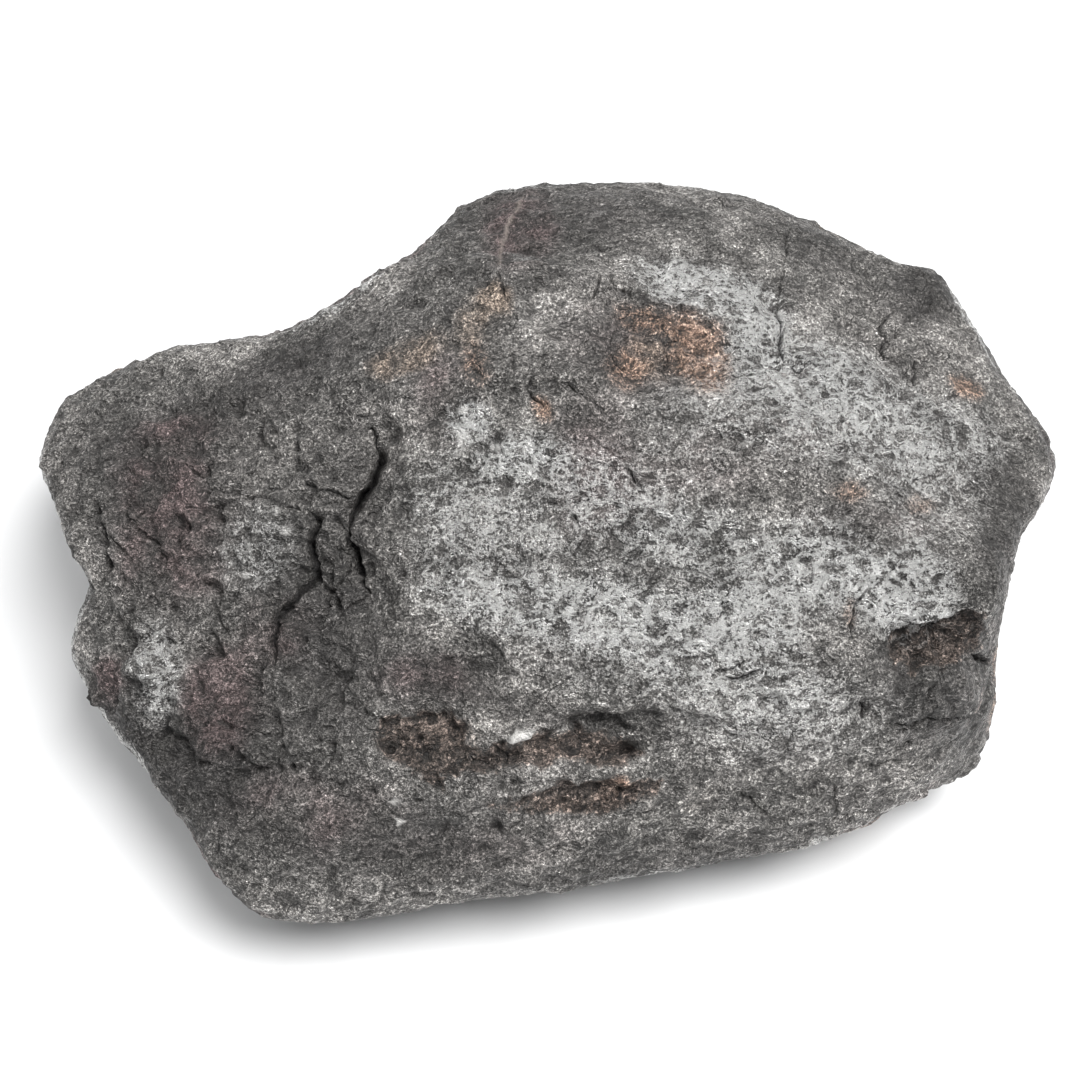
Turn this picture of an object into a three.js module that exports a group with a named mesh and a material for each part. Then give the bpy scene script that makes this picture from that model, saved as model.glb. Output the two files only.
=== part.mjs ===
// A lump of magnetite: one massive weathered stone that rests on a small flat spot.
// Millimetres, +Z up, +X along the stone's length, +Y to its back.
// The origin is on the ground, under the middle of the stone's box.

import * as THREE from "three";
import { ImprovedNoise } from "three/addons/math/ImprovedNoise.js";
import { mergeVertices } from "three/addons/utils/BufferGeometryUtils.js";

// Every radius of the stone is measured from this point inside it.
const CENTRE = new THREE.Vector3(0, 0, 38);

// The eye that sees the outline and the relief looks down on the stone's front.
const EYE_TILT = THREE.MathUtils.degToRad(52);
const EYE_DISTANCE = 251;
const ACROSS = new THREE.Vector3(1, 0, 0);
const UPWARD = new THREE.Vector3(0, Math.sin(EYE_TILT), Math.cos(EYE_TILT));
const NEARER = new THREE.Vector3(0, -Math.cos(EYE_TILT), Math.sin(EYE_TILT));

// How crisp the edges are where two facets meet, and where the facets meet the outline.
const EDGE_SHARPNESS = 26;
const RIM_SHARPNESS = 90;

// The sphere that the stone is shaped from: its edge splits, its stretch before shaping, and how
// far it is moved towards the eye, so that its points crowd on the side with the relief.
const EDGE_SPLITS = 21;
const STRETCH = new THREE.Vector3(90, 62, 42);
const CROWDING = 15;

// The outline across and up from the centre, as the eye sees it, clockwise from the left tip.
const OUTLINE = [
  [-83.6, 13.2], [-80.6, 22.3], [-76, 25.6], [-61, 32.3], [-43.5, 34], [-34.3, 39.2], [-20, 48.4],
  [-16.6, 52.4], [-10.9, 57.6], [-3.7, 59.2], [12, 60.1], [26, 59.2], [37.5, 56.6], [50, 50.4],
  [59.5, 46], [65.6, 45], [70.3, 39], [78, 26], [83.9, 18.7], [86.5, 12.4], [83.9, 5.7], [80.4, 1.9],
  [78.5, -6.2], [75.8, -17.7], [75.9, -24.8], [75.4, -30.3], [72.4, -39], [69.5, -40.9], [61.7, -42.7],
  [55.7, -47], [44.4, -51.4], [17.4, -55.8], [-10, -59.9], [-31.8, -64], [-46.2, -63.5], [-54.8, -54.8],
  [-64.6, -40.7], [-73.2, -28.6], [-78.4, -18.2], [-77.1, -11.9], [-74.1, -7.5], [-77.5, -3.5],
];

// A flat facet faces along a direction and passes through a point.
const facet = (facing, through) => {
  const normal = new THREE.Vector3(...facing).normalize();
  return { normal, reach: normal.dot(new THREE.Vector3(...through).sub(CENTRE)) };
};

const FACETS = [
  facet([0.05, -0.05, 1], [20, 5, 74]), // crown
  facet([0, 0.3, 1], [20, 30, 73]), // back of the crown
  facet([-0.25, 0.45, 1], [-10, 50, 66]), // back left of the crown
  facet([0, 1, 0.2], [11, 71, 58]), // back wall
  facet([-0.45, 1, 0.25], [-40, 62, 40]), // back wall, left
  facet([0.7, 1, 0.1], [69, 57, 46]), // back wall, right
  facet([0.4, 0, 1], [50, 5, 67]), // right shoulder
  facet([0.9, 0.1, 1], [87, 20, 50]), // right brow
  facet([1, 0.2, 0.1], [98, 18, 36]), // right wall
  facet([1, -0.7, 0.2], [96, 5, 34]), // right wall, towards the front
  facet([0.5, -0.85, 0.1], [54, -43, 18]), // front right corner
  facet([0, -0.6, 1], [15, -15, 67]), // front of the crown
  facet([0.15, -1, 0.37], [9, -39.5, 54]), // front face
  facet([-0.42, -0.05, 1], [-28, 5, 65]), // left shoulder
  facet([-0.35, -0.55, 1], [-40, -20, 48]), // left shoulder, towards the front
  facet([-0.2, -1, 1], [-40, -38, 43]), // front left slope
  facet([-1, 0.1, 0.3], [-96, 22, 30]), // left end
  facet([-0.8, -0.6, 0.5], [-75, -24, 24]), // left end, towards the front
  facet([-0.5, 0.6, 1], [-65, 40, 48]), // back left slope
  facet([0, 0, -1], [0, 0, -2.2]), // flat spot, a little deeper than where it is cut off
  facet([0.05, -0.25, -1], [0, -22, 0]), // belly, front
  facet([-0.3, 0, -1], [-28, 0, 0]), // belly, left
  facet([0.3, 0.05, -1], [34, 0, 0]), // belly, right
  facet([0.05, 0.3, -1], [0, 28, 0]), // belly, back
  facet([0.14, -0.8, -1], [10, -54, 13]), // undercut front
  facet([-1, 0, -0.9], [-90, 20, 22]), // undercut left end
  facet([1, 0, -0.8], [88, 10, 22]), // undercut right end
  facet([0, 1, -0.6], [0, 71, 32]), // undercut back
];

// Relief, in the outline's millimetres: each form gives how far the surface is raised at a place.

// A round-ended bump, or with a height under zero a hollow, turned anticlockwise by degrees.
const lump = (at, size, height, turn = 0) => {
  const angle = THREE.MathUtils.degToRad(turn);
  return (across, up) => {
    const x = across - at[0];
    const y = up - at[1];
    const along = (x * Math.cos(angle) + y * Math.sin(angle)) / size[0];
    const aside = (y * Math.cos(angle) - x * Math.sin(angle)) / size[1];
    return height * Math.exp(-((along ** 2 + aside ** 2) ** 2));
  };
};
const hollow = (at, size, depth, turn = 0) => lump(at, size, -depth, turn);

// The distance to a path, and the side of it: over zero to the left of its run.
function pathDistance(path, across, up) {
  let nearest = Infinity;
  let side = 1;
  for (let i = 0; i + 1 < path.length; i++) {
    const [x, y] = path[i];
    const runX = path[i + 1][0] - x;
    const runY = path[i + 1][1] - y;
    const share = ((across - x) * runX + (up - y) * runY) / (runX ** 2 + runY ** 2);
    const kept = THREE.MathUtils.clamp(share, 0, 1);
    const distance = Math.hypot(across - x - kept * runX, up - y - kept * runY);
    if (distance < nearest) {
      nearest = distance;
      side = Math.sign(runX * (up - y) - runY * (across - x)) || 1;
    }
  }
  return [nearest, side];
}

// A ridge along a path, or with a height under zero a groove.
const ridge = (path, width, height) => (across, up) => {
  const [distance] = pathDistance(path, across, up);
  return height * Math.exp(-((distance / width) ** 2));
};
const groove = (path, width, depth) => ridge(path, width, -depth);

// A step down on the left of a path, which fades away from it.
const ledge = (path, fade, drop) => (across, up) => {
  const [distance, side] = pathDistance(path, across, up);
  return side > 0 ? -drop * Math.exp(-((distance / fade) ** 2)) : 0;
};

const RELIEF = [
  // The fissure between the dome and the left block, and the valley beside it
  groove([[-27.1, 18.7], [-26.1, 15.6], [-27.6, 10], [-29.8, 5.9], [-30.8, 3]], 2.4, 4.2),
  groove([[-31.6, -3.5], [-30.1, -6], [-29.1, -10], [-31.5, -13.7], [-36, -24]], 3, 2.2),
  groove([[-38.5, 5.4], [-38.2, 1.7], [-40, -5], [-41.5, -10], [-43.5, -16], [-44.3, -23]], 3, 2),
  hollow([-36, -17], [9, 13], 2),
  // The left block: its back edge, its end facet and the bump above the left corner
  ledge([[-75, 19.2], [-63.9, 20.3], [-50.2, 27.3], [-37.5, 33.3], [-26.5, 43.9], [-17.9, 50.3]], 10, 3.6),
  groove([[-78.6, 16], [-77.3, 10], [-74.5, 3.3], [-72, -2.5], [-72, -8]], 2.6, 2.4),
  lump([-65.3, -19.5], [7, 11], 3, 15),
  lump([-52, 8], [12, 8], 1.6, -20),
  hollow([-57, -6], [7, 5], 1.6, -30),
  // The front left slope: a step with lumps above it
  ledge([[-30, -41.8], [-40.2, -37.2], [-50.2, -38.2], [-58, -43.5]], 6, 2),
  lump([-47, -33], [8, 4], 1.4, 15),
  // The dome: the sweep at its foot, the bright brow above that, and broad swells
  groove([[-28.4, -14], [-16.7, -21], [-1.7, -28.6], [16.7, -33.6]], 6, 1.6),
  ridge([[-15.1, -9.2], [0, -18.4], [13.4, -25.1], [33.5, -25.9], [50.2, -21.8]], 5, 1.5),
  lump([50, 20], [17, 12], 2),
  hollow([66, 6.5], [12, 5], 1.4, 5),
  lump([-6, 44], [8, 8], 1.6),
  // The scoop in the crown, with a rim behind it
  hollow([21.8, 31.8], [12, 6.5], 2.4, -8),
  ledge([[32.8, 33.6], [27.8, 38.7], [17.5, 40.2], [11.5, 41.8]], 5, 1.8),
  lump([6.5, 22], [5, 5], 1.4),
  groove([[2.5, 26.2], [7.5, 25.6], [11.5, 22], [11, 18]], 1.6, 1.4),
  groove([[-1.3, 28.5], [-1.2, 24.3], [1, 21]], 1.6, 1.8),
  // Pits and cracks behind the right shoulder
  groove([[40.7, 51], [40.2, 40.2], [41.2, 32.6], [43.8, 29.5]], 1.8, 1.6),
  hollow([42.2, 34.3], [3, 5], 1.8),
  ledge([[59.1, 38.8], [57.6, 34.3], [58.6, 29.5]], 4, 2.4),
  groove([[62.7, 31], [63.1, 25.6]], 1.6, 1.8),
  hollow([65, 40], [6, 4], 1.8, -20),
  // The right end: the brow's edge, the rough pocket under it and the slab below
  ridge([[80.3, 3], [75.6, -2.5], [73, -12]], 2.6, 1.4),
  hollow([66, -16.5], [9, 4.5], 3, 8),
  groove([[74, -20.2], [67, -19.6], [60, -21.4]], 2.4, 2.6),
  groove([[51.9, -8], [52.4, -13.4], [53.6, -19]], 1.8, 2),
  hollow([57, -28], [4, 4], 1.4),
  // The two rough pockets in the front face
  hollow([-19.2, -33.5], [8, 5], 2.4, -12),
  hollow([-6.7, -35.6], [8, 2.8], 1.9),
  hollow([8.6, -34.8], [8.5, 3.6], 2.8, 8),
  hollow([9, -42.3], [10, 2.4], 2.2, 8),
];
const RELIEF_FROM = 0.05; // the relief fades in over these values of how far a place faces the eye
const RELIEF_WHOLE = 0.3;

// Lumpiness all over the stone: wavelength and height of each octave.
const LUMPINESS = [
  [36, 3],
  [16, 1.7],
  [8, 0.9],
];

const RIM_LUMPINESS = 0.3; // the share of that, and of the relief, on the outline's own surface

// The outline's radius, as seen, along the direction (a, b) from the centre.
function outlineRadius(a, b) {
  for (let i = 0; i < OUTLINE.length; i++) {
    const [x, y] = OUTLINE[i];
    const [nextX, nextY] = OUTLINE[(i + 1) % OUTLINE.length];
    const cross = a * (nextY - y) - b * (nextX - x);
    const radius = (x * (nextY - y) - y * (nextX - x)) / cross;
    const share = (x * b - y * a) / cross;
    if (radius > 0 && share >= 0 && share <= 1) return radius;
  }
  throw new Error("the outline does not go round the centre");
}

// How far a ray from the centre runs inside the cone from the eye through the outline.
function coneReach(direction) {
  const a = direction.dot(ACROSS);
  const b = direction.dot(UPWARD);
  const spread = Math.hypot(a, b);
  if (spread < 1e-6) return Infinity;
  const seen = outlineRadius(a / spread, b / spread);
  const closing = spread + (seen / EYE_DISTANCE) * direction.dot(NEARER);
  return closing > 0 ? seen / closing : Infinity;
}

// The radius of the facets alone, along a direction.
function facetRadius(direction) {
  let sum = 0;
  for (const { normal, reach } of FACETS) {
    const facing = direction.dot(normal);
    if (facing > 0) sum += (facing / reach) ** EDGE_SHARPNESS;
  }
  return sum ** (-1 / EDGE_SHARPNESS);
}

// The lesser of two radii, with the corner between them rounded.
const lesser = (a, b) => (a ** -RIM_SHARPNESS + b ** -RIM_SHARPNESS) ** (-1 / RIM_SHARPNESS);

// How far the relief raises a point of the plain shape.
function reliefAt(point, direction) {
  const facing = direction.dot(NEARER);
  const share = THREE.MathUtils.smoothstep(facing, RELIEF_FROM, RELIEF_WHOLE);
  if (share === 0) return 0;
  const scale = EYE_DISTANCE / (EYE_DISTANCE - point.dot(NEARER));
  const across = point.dot(ACROSS) * scale;
  const up = point.dot(UPWARD) * scale;
  return share * RELIEF.reduce((sum, form) => sum + form(across, up), 0);
}

const noise = new ImprovedNoise();
function lumpinessAt(point) {
  return LUMPINESS.reduce((sum, [wavelength, height], octave) => {
    const { x, y, z } = point.clone().divideScalar(wavelength).addScalar(7.3 * octave + 0.5);
    return sum + height * noise.noise(x, y, z);
  }, 0);
}

function stoneGeometry() {
  const sphere = new THREE.IcosahedronGeometry(1, EDGE_SPLITS);
  sphere.deleteAttribute("normal");
  sphere.deleteAttribute("uv");
  const geometry = mergeVertices(sphere, 1e-5);
  const position = geometry.attributes.position;
  const direction = new THREE.Vector3();
  const point = new THREE.Vector3();
  for (let i = 0; i < position.count; i++) {
    direction.fromBufferAttribute(position, i).multiply(STRETCH);
    direction.addScaledVector(NEARER, CROWDING).normalize();
    const facets = facetRadius(direction);
    const cone = coneReach(direction);
    point.copy(direction).multiplyScalar(lesser(facets, cone));
    const raised = reliefAt(point, direction) + lumpinessAt(point);
    const radius = lesser(facets + raised, cone + RIM_LUMPINESS * raised);
    point.copy(direction).multiplyScalar(radius).add(CENTRE);
    position.setXYZ(i, point.x, point.y, Math.max(point.z, 0));
  }
  // The box's middle comes over the origin.
  geometry.computeBoundingBox();
  const middle = geometry.boundingBox.getCenter(new THREE.Vector3());
  geometry.translate(-middle.x, -middle.y, 0);
  geometry.computeVertexNormals();
  return geometry;
}

const magnetite = new THREE.Mesh(
  stoneGeometry(),
  new THREE.MeshStandardMaterial({ color: 0x59595b, roughness: 0.55, metalness: 0.45 }),
);
magnetite.name = "magnetite";

const stone = new THREE.Group();
stone.add(magnetite);
export default stone;
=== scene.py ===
# The looks of a weathered lump of magnetite: a dense stone skin with its fissure, ledges, rough
# pockets and chips, in metallic grey with silvery, rusty and purple-brown patches. The silvery patches
# are partly painted sheen; painted shade darkens its cracks, hollows and dark patches, and painted
# highlights brighten its crests.
# Shapes are worked out in millimetres and made in metres.

import math

import bmesh
import bpy
import numpy as np
from mathutils import Matrix, Vector, noise


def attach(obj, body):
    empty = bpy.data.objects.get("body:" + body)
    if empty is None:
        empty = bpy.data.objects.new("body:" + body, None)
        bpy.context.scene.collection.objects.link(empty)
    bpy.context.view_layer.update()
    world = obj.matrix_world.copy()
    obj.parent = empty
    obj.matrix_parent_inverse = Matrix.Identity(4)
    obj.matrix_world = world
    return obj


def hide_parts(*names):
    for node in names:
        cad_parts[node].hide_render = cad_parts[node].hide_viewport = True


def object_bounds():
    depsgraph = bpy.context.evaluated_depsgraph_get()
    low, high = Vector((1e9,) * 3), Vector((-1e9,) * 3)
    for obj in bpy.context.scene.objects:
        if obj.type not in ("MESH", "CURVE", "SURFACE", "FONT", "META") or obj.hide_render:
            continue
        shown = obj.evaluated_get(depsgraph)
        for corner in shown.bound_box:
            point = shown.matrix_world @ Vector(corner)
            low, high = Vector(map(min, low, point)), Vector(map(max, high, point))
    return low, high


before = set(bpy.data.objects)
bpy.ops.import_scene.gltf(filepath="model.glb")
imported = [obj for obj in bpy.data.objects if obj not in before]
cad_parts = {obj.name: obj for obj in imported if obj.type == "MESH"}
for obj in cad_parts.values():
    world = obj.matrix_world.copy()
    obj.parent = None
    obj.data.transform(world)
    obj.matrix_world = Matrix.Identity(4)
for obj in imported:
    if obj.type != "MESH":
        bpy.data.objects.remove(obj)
cad_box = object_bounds()

MM = 0.001

# The view: the eye looks down on the stone's front from 251 mm, and a form is placed by how far
# across and up from the centre the eye sees it, in millimetres at the centre's distance.
EYE_TILT = math.radians(52)
EYE_DISTANCE = 251.0
CENTRE = np.array([-0.37, -7.712, 38.0])
UPWARD = np.array([0.0, math.sin(EYE_TILT), math.cos(EYE_TILT)])
NEARER = np.array([0.0, -math.cos(EYE_TILT), math.sin(EYE_TILT)])
EYE = CENTRE + EYE_DISTANCE * NEARER

# The mesh: the voxel that the skin is remade with, the bands along cracks where faces are split
# once and again, and the faces kept
VOXEL = 0.5
FINE_BANDS = (1.0, 0.5)
FACES_KEPT = 197000

# How ragged lines and the edges of pockets are
LINE_WARP = 0.4
POCKET_WARP = 1.3

# The relief's sizes: lumps and the chips, crests and grains that come in two sizes each
LUMP_SIZE = 7
CHIP_SIZES = (5.5, 2.1)
CREST_SIZES = (7, 2.9)
POCKET_GRAIN_SIZES = (1.5, 3.1)
SEEDS = {
    "warp": 3.1, "lumps": 11.7, "crests": 23.3, "chips": 41.9, "flakes": 57.3, "grain": 71.1, "flow": 87.7,
}

# How far the stone's grain and its streaks climb to the right, in degrees
GRAIN_TILT = 14

# The material's sizes, how far its swirls reach and how much its grain is drawn out
SWIRL_SIZE = 3.0
SWIRL_REACH = 1.2
GRAIN_STRETCH = 1.35
GRIT_SIZE = 0.42
FOLD_SIZE = 2.2
WEB_SIZE = 1.9
CREASE_SIZE = 5.5
CREASE_OFFSET = (31.0, 17.0, 5.0)
FACET_SIZE = 0.95
FLAKE_SIZE = 0.36
MIDDLE = (0.5, 0.5, 0.5)

COLOURS = {
    "skin": (0.1, 0.096, 0.091),
    "lighter skin": (0.146, 0.139, 0.132),
    # Dark: a darker skin, partly painted shade
    "dark": (0.034, 0.032, 0.031),
    "purple": (0.068, 0.051, 0.05),
    "tan": (0.17, 0.13, 0.1),
    # The silvery colour: the stone's metallic lustre, partly painted sheen
    "silver": (0.255, 0.25, 0.242),
    # Painted highlight on crests
    "crest highlight": (0.76, 0.755, 0.74),
    "rust": (0.1, 0.06, 0.044),
    "lighter rust": (0.27, 0.18, 0.132),
    "pocket": (0.018, 0.014, 0.012),
    "pocket grain": (0.18, 0.142, 0.122),
    # Painted shade in hollows and creases, partly dirt
    "hollow": (0.03, 0.028, 0.027),
    "vein": (0.36, 0.31, 0.28),
    # Painted shade in cracks
    "crack": (0.008, 0.007, 0.007),
    "white": (0.85, 0.83, 0.8),
    "table": (0.76, 0.765, 0.77),
    "lighter table": (0.8, 0.8, 0.8),
    "room light": (0.98, 0.99, 1.0),
}

# The lights: name, place, size and watts
LIGHTS = [
    ("window", (290, -150, 830), 480, 11),
    ("room", (-420, 150, 850), 900, 2.5),
]
ROOM_STRENGTH = 0.42
TABLE_HALF = 1.6


# Lines in the stone, across and up in the view

FISSURE = [
    (-26.5, 15.3), (-26.4, 14.1), (-27.1, 12.3), (-27.7, 10.5), (-28.6, 8.4), (-29.8, 6), (-31.2, 3.9),
    (-32.4, 1.8), (-32.5, 0.3), (-31.5, -1.5), (-30.6, -3.3), (-29.7, -5.8), (-29.2, -7.6), (-28.4, -8.9),
]
FISSURE_MOUTH = [
    (-27.3, 16), (-26.2, 15.2), (-26.1, 13.6), (-26.9, 12), (-28, 9.6), (-29.8, 6), (-31.4, 3.6),
]
SECOND_CRACK = [
    (-39, 5.1), (-37.8, 4.2), (-37.3, 3), (-38.1, 1.5), (-38.7, -0.3), (-38.8, -2.1), (-38.1, -3.9),
    (-38.2, -6.1), (-39.9, -8.8), (-41.4, -10.6), (-43, -11.8), (-43.8, -13.6), (-44.1, -15.4),
    (-44.7, -17.2), (-44.3, -19), (-44.8, -21.4),
]
SCOOP_RIM = [
    (33.6, 33.2), (32.8, 34), (31.5, 34), (30, 35.1), (29.6, 36.7), (28.8, 38), (24, 38.8), (22.6, 39.4),
    (20.7, 40), (18.6, 40), (16.5, 40.9), (14.3, 41.5), (12.2, 42.1), (11.1, 41.5), (9.2, 42),
]
BROW_EDGE = [
    (75.4, -17.9), (74.6, -14.8), (73.4, -12.2), (70.8, -11.6), (68.6, -12.5), (65.7, -13.2), (61.9, -14.6),
    (59.1, -16.3), (58.1, -18.3),
]

# Each crack: its path, half its width and its depth
CRACKS = [
    (FISSURE, 0.42, 3.4),
    (FISSURE_MOUTH, 0.72, 4.4),
    ([(-29, 18.3), (-28.1, 18.6), (-27.4, 17.7), (-27.4, 16.2), (-26.5, 14.6)], 0.26, 1.6),
    ([(-28.4, -8.9), (-29.4, -9.6), (-31.5, -10.7), (-32.7, -12.4)], 0.26, 1.2),
    ([(-35.1, -9.4), (-34.2, -7), (-32.1, -4.6), (-31.5, -2.7)], 0.24, 1.0),
    (SECOND_CRACK, 0.42, 2.3),
    (SECOND_CRACK[1:7], 0.5, 0.9),
    ([(-36.6, -8.2), (-36.8, -10), (-36.3, -11.8)], 0.26, 1.4),
    ([(-40.2, 9.9), (-37.5, 8.6), (-34.5, 8.1), (-32.1, 7.2), (-30.6, 6.8)], 0.22, 0.8),
    ([(-59.2, 12.6), (-57.7, 11.4), (-56.5, 10.5), (-55.6, 11.7), (-54, 13.8), (-53.4, 14.7)], 0.24, 1.0),
    ([(-56.5, 10.5), (-55, 8.7), (-52.5, 8), (-49.5, 7.5), (-46.5, 7.2), (-42, 5.6), (-39, 5.1)], 0.2, 0.7),
    ([(-70, 6.9), (-68.2, 3.9), (-66.4, 0.9), (-64, -0.6), (-62.5, -2.7), (-62.8, -4.6)], 0.24, 0.9),
    ([(-59.2, 2.7), (-58.9, 0.9), (-59.8, -0.3)], 0.24, 0.8),
    ([(-55.1, -9.4), (-54.4, -11.8), (-52.8, -14.8), (-52.2, -16.6)], 0.24, 0.8),
    ([(-64.3, 20.2), (-59.1, 22.3), (-55.2, 24.3), (-51.7, 26.3), (-49.5, 27.5)], 0.22, 0.8),
    ([(-75.1, 7.8), (-73.6, 3.3), (-72.8, 0.4), (-72.5, -1.8), (-72.8, -4.7), (-73.6, -7.2)], 0.34, 1.3),
    ([(-72.3, 1), (-69.9, -1.8), (-67.7, -4.1)], 0.22, 0.8),
    ([(3.1, 25.7), (4.7, 26), (6.3, 25.2), (7.6, 24.4), (9, 23), (10.3, 21.7), (11.1, 20.1)], 0.28, 1.0),
    ([(-1.2, 27.6), (-1.3, 26.5), (-2.2, 25.4), (-1.5, 24.4), (-0.1, 23.3), (0.5, 22)], 0.3, 1.4),
    ([(-5, 32.4), (-4.5, 30.3), (-4.3, 28.1), (-4.1, 26)], 0.22, 0.7),
    ([(9.9, 44.2), (9.8, 42.6), (9, 40.7), (8.4, 40.3)], 0.26, 1.0),
    ([(11.5, 45), (11.9, 43.6), (12.2, 42.3)], 0.24, 0.9),
    ([(-3.1, 43), (-1.7, 42.8), (-0.4, 42.3)], 0.24, 0.9),
    ([(-6.8, 44.7), (-6.3, 42.6), (-5.8, 40.4), (-4.7, 38.6)], 0.24, 0.8),
    ([(12.6, 31.1), (12.7, 29.5), (14.9, 29.2)], 0.24, 1.0),
    ([(20.7, 32.4), (22.2, 31.9), (21.6, 30.3), (20.2, 28.6), (18.6, 29.5)], 0.28, 1.1),
    (SCOOP_RIM[5:], 0.24, 1.0),
    ([(7.1, 7.5), (4.7, 4.8), (6.3, 3.2), (7.4, 1.9), (8.3, 0)], 0.2, 0.6),
    ([(41.8, 51.8), (41.2, 49.5), (40.9, 46.7), (40.6, 43.2), (40.2, 40.4)], 0.18, 0.8),
    ([(40.2, 40.4), (39.9, 38.1), (40.5, 35.8), (40.2, 32.4), (40.9, 29.6)], 0.3, 1.5),
    ([(40.9, 29.6), (42.4, 29), (43.2, 28.4), (44.3, 29), (46.6, 29), (48.6, 29.3)], 0.24, 0.9),
    ([
        (59.7, 39), (58.3, 37.6), (57.3, 36.4), (57.1, 35), (58, 33.6), (57.1, 31.9), (58, 30.4),
        (58.3, 29.3),
    ], 0.3, 1.4),
    ([(59.4, 36.1), (59.7, 34.7), (59.3, 33.9)], 0.26, 1.0),
    ([(62.6, 30.2), (62.8, 28.4), (62.6, 26.2)], 0.28, 1.2),
    ([(60.3, 14.8), (61.1, 11.9), (61.7, 10.2)], 0.22, 0.8),
    ([(33.5, 54.4), (35.5, 53.2), (36.5, 52.2)], 0.26, 0.9),
    ([(54.6, -8.4), (53.1, -10.6), (52.4, -12.9), (52.1, -15.4), (52.4, -17.9)], 0.26, 1.2),
    ([(58.1, -30.7), (63.2, -31), (65.7, -30), (71.5, -29.3)], 0.2, 0.8),
    ([(59.1, -31.7), (63.2, -31.4)], 0.18, 0.6),
    ([(65.4, -24.9), (65.7, -28.1), (65.1, -30)], 0.2, 0.7),
    ([(54, -27.8), (55.2, -28.9), (53.8, -30.7)], 0.3, 1.0),
    ([(61.8, -33.5), (61, -35.4)], 0.26, 0.9),
    ([(55.6, -37.8), (58.1, -37.5), (60.6, -37.1)], 0.2, 0.6),
    ([(18.1, -4), (21.8, -4.4), (25.6, -5.1), (28.2, -5.9), (29.9, -5.5)], 0.2, 0.5),
    ([(24, -6.7), (26.1, -7.2), (27.7, -7)], 0.2, 0.5),
    ([(28.8, -1.6), (31.5, -0.8), (33.9, 0.8)], 0.2, 0.7),
    ([(14.3, 12.9), (15.4, 10.7), (16, 9.6)], 0.24, 0.8),
    ([(31.4, -23), (32.7, -24), (34.6, -23.3), (36.5, -21.8), (37.1, -20.8)], 0.3, 1.2),
    ([(28.8, -22.2), (31.7, -21.7), (34.7, -20.3)], 0.24, 0.8),
    ([(49.2, -40.8), (49.7, -43.4), (49.5, -45.9)], 0.22, 0.6),
    ([(47.9, -47), (51.1, -46.6), (54.3, -45.9), (56.8, -45.2)], 0.2, 0.5),
    ([(32.7, -42.1), (35.2, -43.4), (37.1, -45.3), (38.7, -46)], 0.2, 0.6),
    ([(73.2, -19.7), (74.6, -20.4), (75.6, -20.6)], 0.36, 2.0),
]

# Each ledge: its path, how far it fades and its drop, down on the left of its run
LEDGES = [
    ([
        (-75, 19.2), (-64.3, 20.2), (-55.2, 24.3), (-49.5, 27.5), (-37.5, 33.3), (-26.5, 43.9), (-17.9, 50.3),
    ], 6, 1.5),
    (SCOOP_RIM, 5, 1.2),
    ([(-30, -41.8), (-40.2, -37.2), (-50.2, -38.2), (-58, -43.5)], 4, 0.8),
    (FISSURE[::-1], 3, 0.9),
    (SECOND_CRACK, 4, 1.0),
    (BROW_EDGE, 6, 1.3),
    ([
        (52, -12), (43.8, -7), (40.2, -2), (33.8, 1), (24, 4), (14, 6.5), (6.2, 8.5), (6, 14), (9, 21),
    ], 5, 0.9),
    ([(44, 14), (37, 17.5), (31, 19), (25, 22)], 4, 0.7),
]

# Small forms: middle, half sizes, turn in degrees and height, under zero for a pit
FORMS = [
    ((64.5, 42.3), (5.2, 3.6), -20, 1.2),
    ((14.4, -35.2), (2.2, 1.4), 20, -2.4),
    ((-20.2, -43.7), (0.9, 0.6), -30, -1.6),
    ((50.8, -10.6), (0.9, 0.8), 0, -1.2),
    ((64.3, 38.7), (1.3, 0.8), 0, -1.2),
    ((34.6, -27.5), (1.2, 0.8), 30, -1.2),
    ((21.2, 46.6), (1.1, 0.6), 30, -0.9),
    ((-37.8, 3.4), (1.1, 1.2), 0, -2.0),
    ((-26.6, 14.6), (0.8, 1.1), 0, -1.6),
    ((54.5, -29), (1.7, 2.2), 0, -1.0),
    ((31, -21.8), (4.5, 1.8), -15, -0.9),
    ((-35, -9), (3.4, 5.5), -20, -1.2),
    ((-33.6, -5), (1.8, 3.2), -25, 1.0),
    ((24, 30), (3, 4), 20, -0.9),
    ((20.5, 34.5), (3, 2.4), 0, 0.9),
    ((43, 34), (2.4, 3.2), 0, -1.0),
    ((-59, 11.8), (2.4, 1.6), -30, 0.6),
]

# Pockets of rough grains: outline, depth and how lumpy
POCKETS = [
    ([
        (-26.1, -30.1), (-23.9, -29.5), (-15.7, -29.5), (-13.1, -31.3), (-11.9, -34.6), (-9.7, -35.5),
        (-5.9, -34.3), (-2.7, -34), (0, -32.8), (3.3, -33.3), (6.9, -31.6), (9.9, -32), (13.7, -34),
        (16.1, -35.5), (14.2, -37.3), (10.7, -37.8), (6.9, -36.1), (1.2, -36.6), (-6.5, -38.2),
        (-11.9, -38.8), (-16.2, -39.3), (-16.6, -42.3), (-19.2, -39.7), (-21.9, -38.2), (-25.8, -36.1),
        (-26.9, -33.5),
    ], 1.3, 2.2),
    ([
        (1.2, -42.7), (3.8, -40), (6.5, -40.5), (9.2, -40.8), (14.9, -40.7), (20.2, -40), (19.6, -41.2),
        (16.1, -43.2), (9.9, -46.2), (8, -45.3), (-2.7, -44.7), (-8.9, -44.7),
    ], 0.9, 2.0),
    ([
        (58.1, -18.3), (59.1, -16.3), (61.9, -14.8), (65.7, -13.4), (68.6, -12.7), (70.8, -11.8),
        (73.4, -12.6), (74.6, -15.4), (74, -19), (72.2, -18.4), (70.8, -20.5), (69, -19.6), (67.4, -22),
        (65, -20.4), (62.6, -22.6), (60.8, -20), (59.6, -20.8),
    ], 1.2, 2.2),
]
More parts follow.
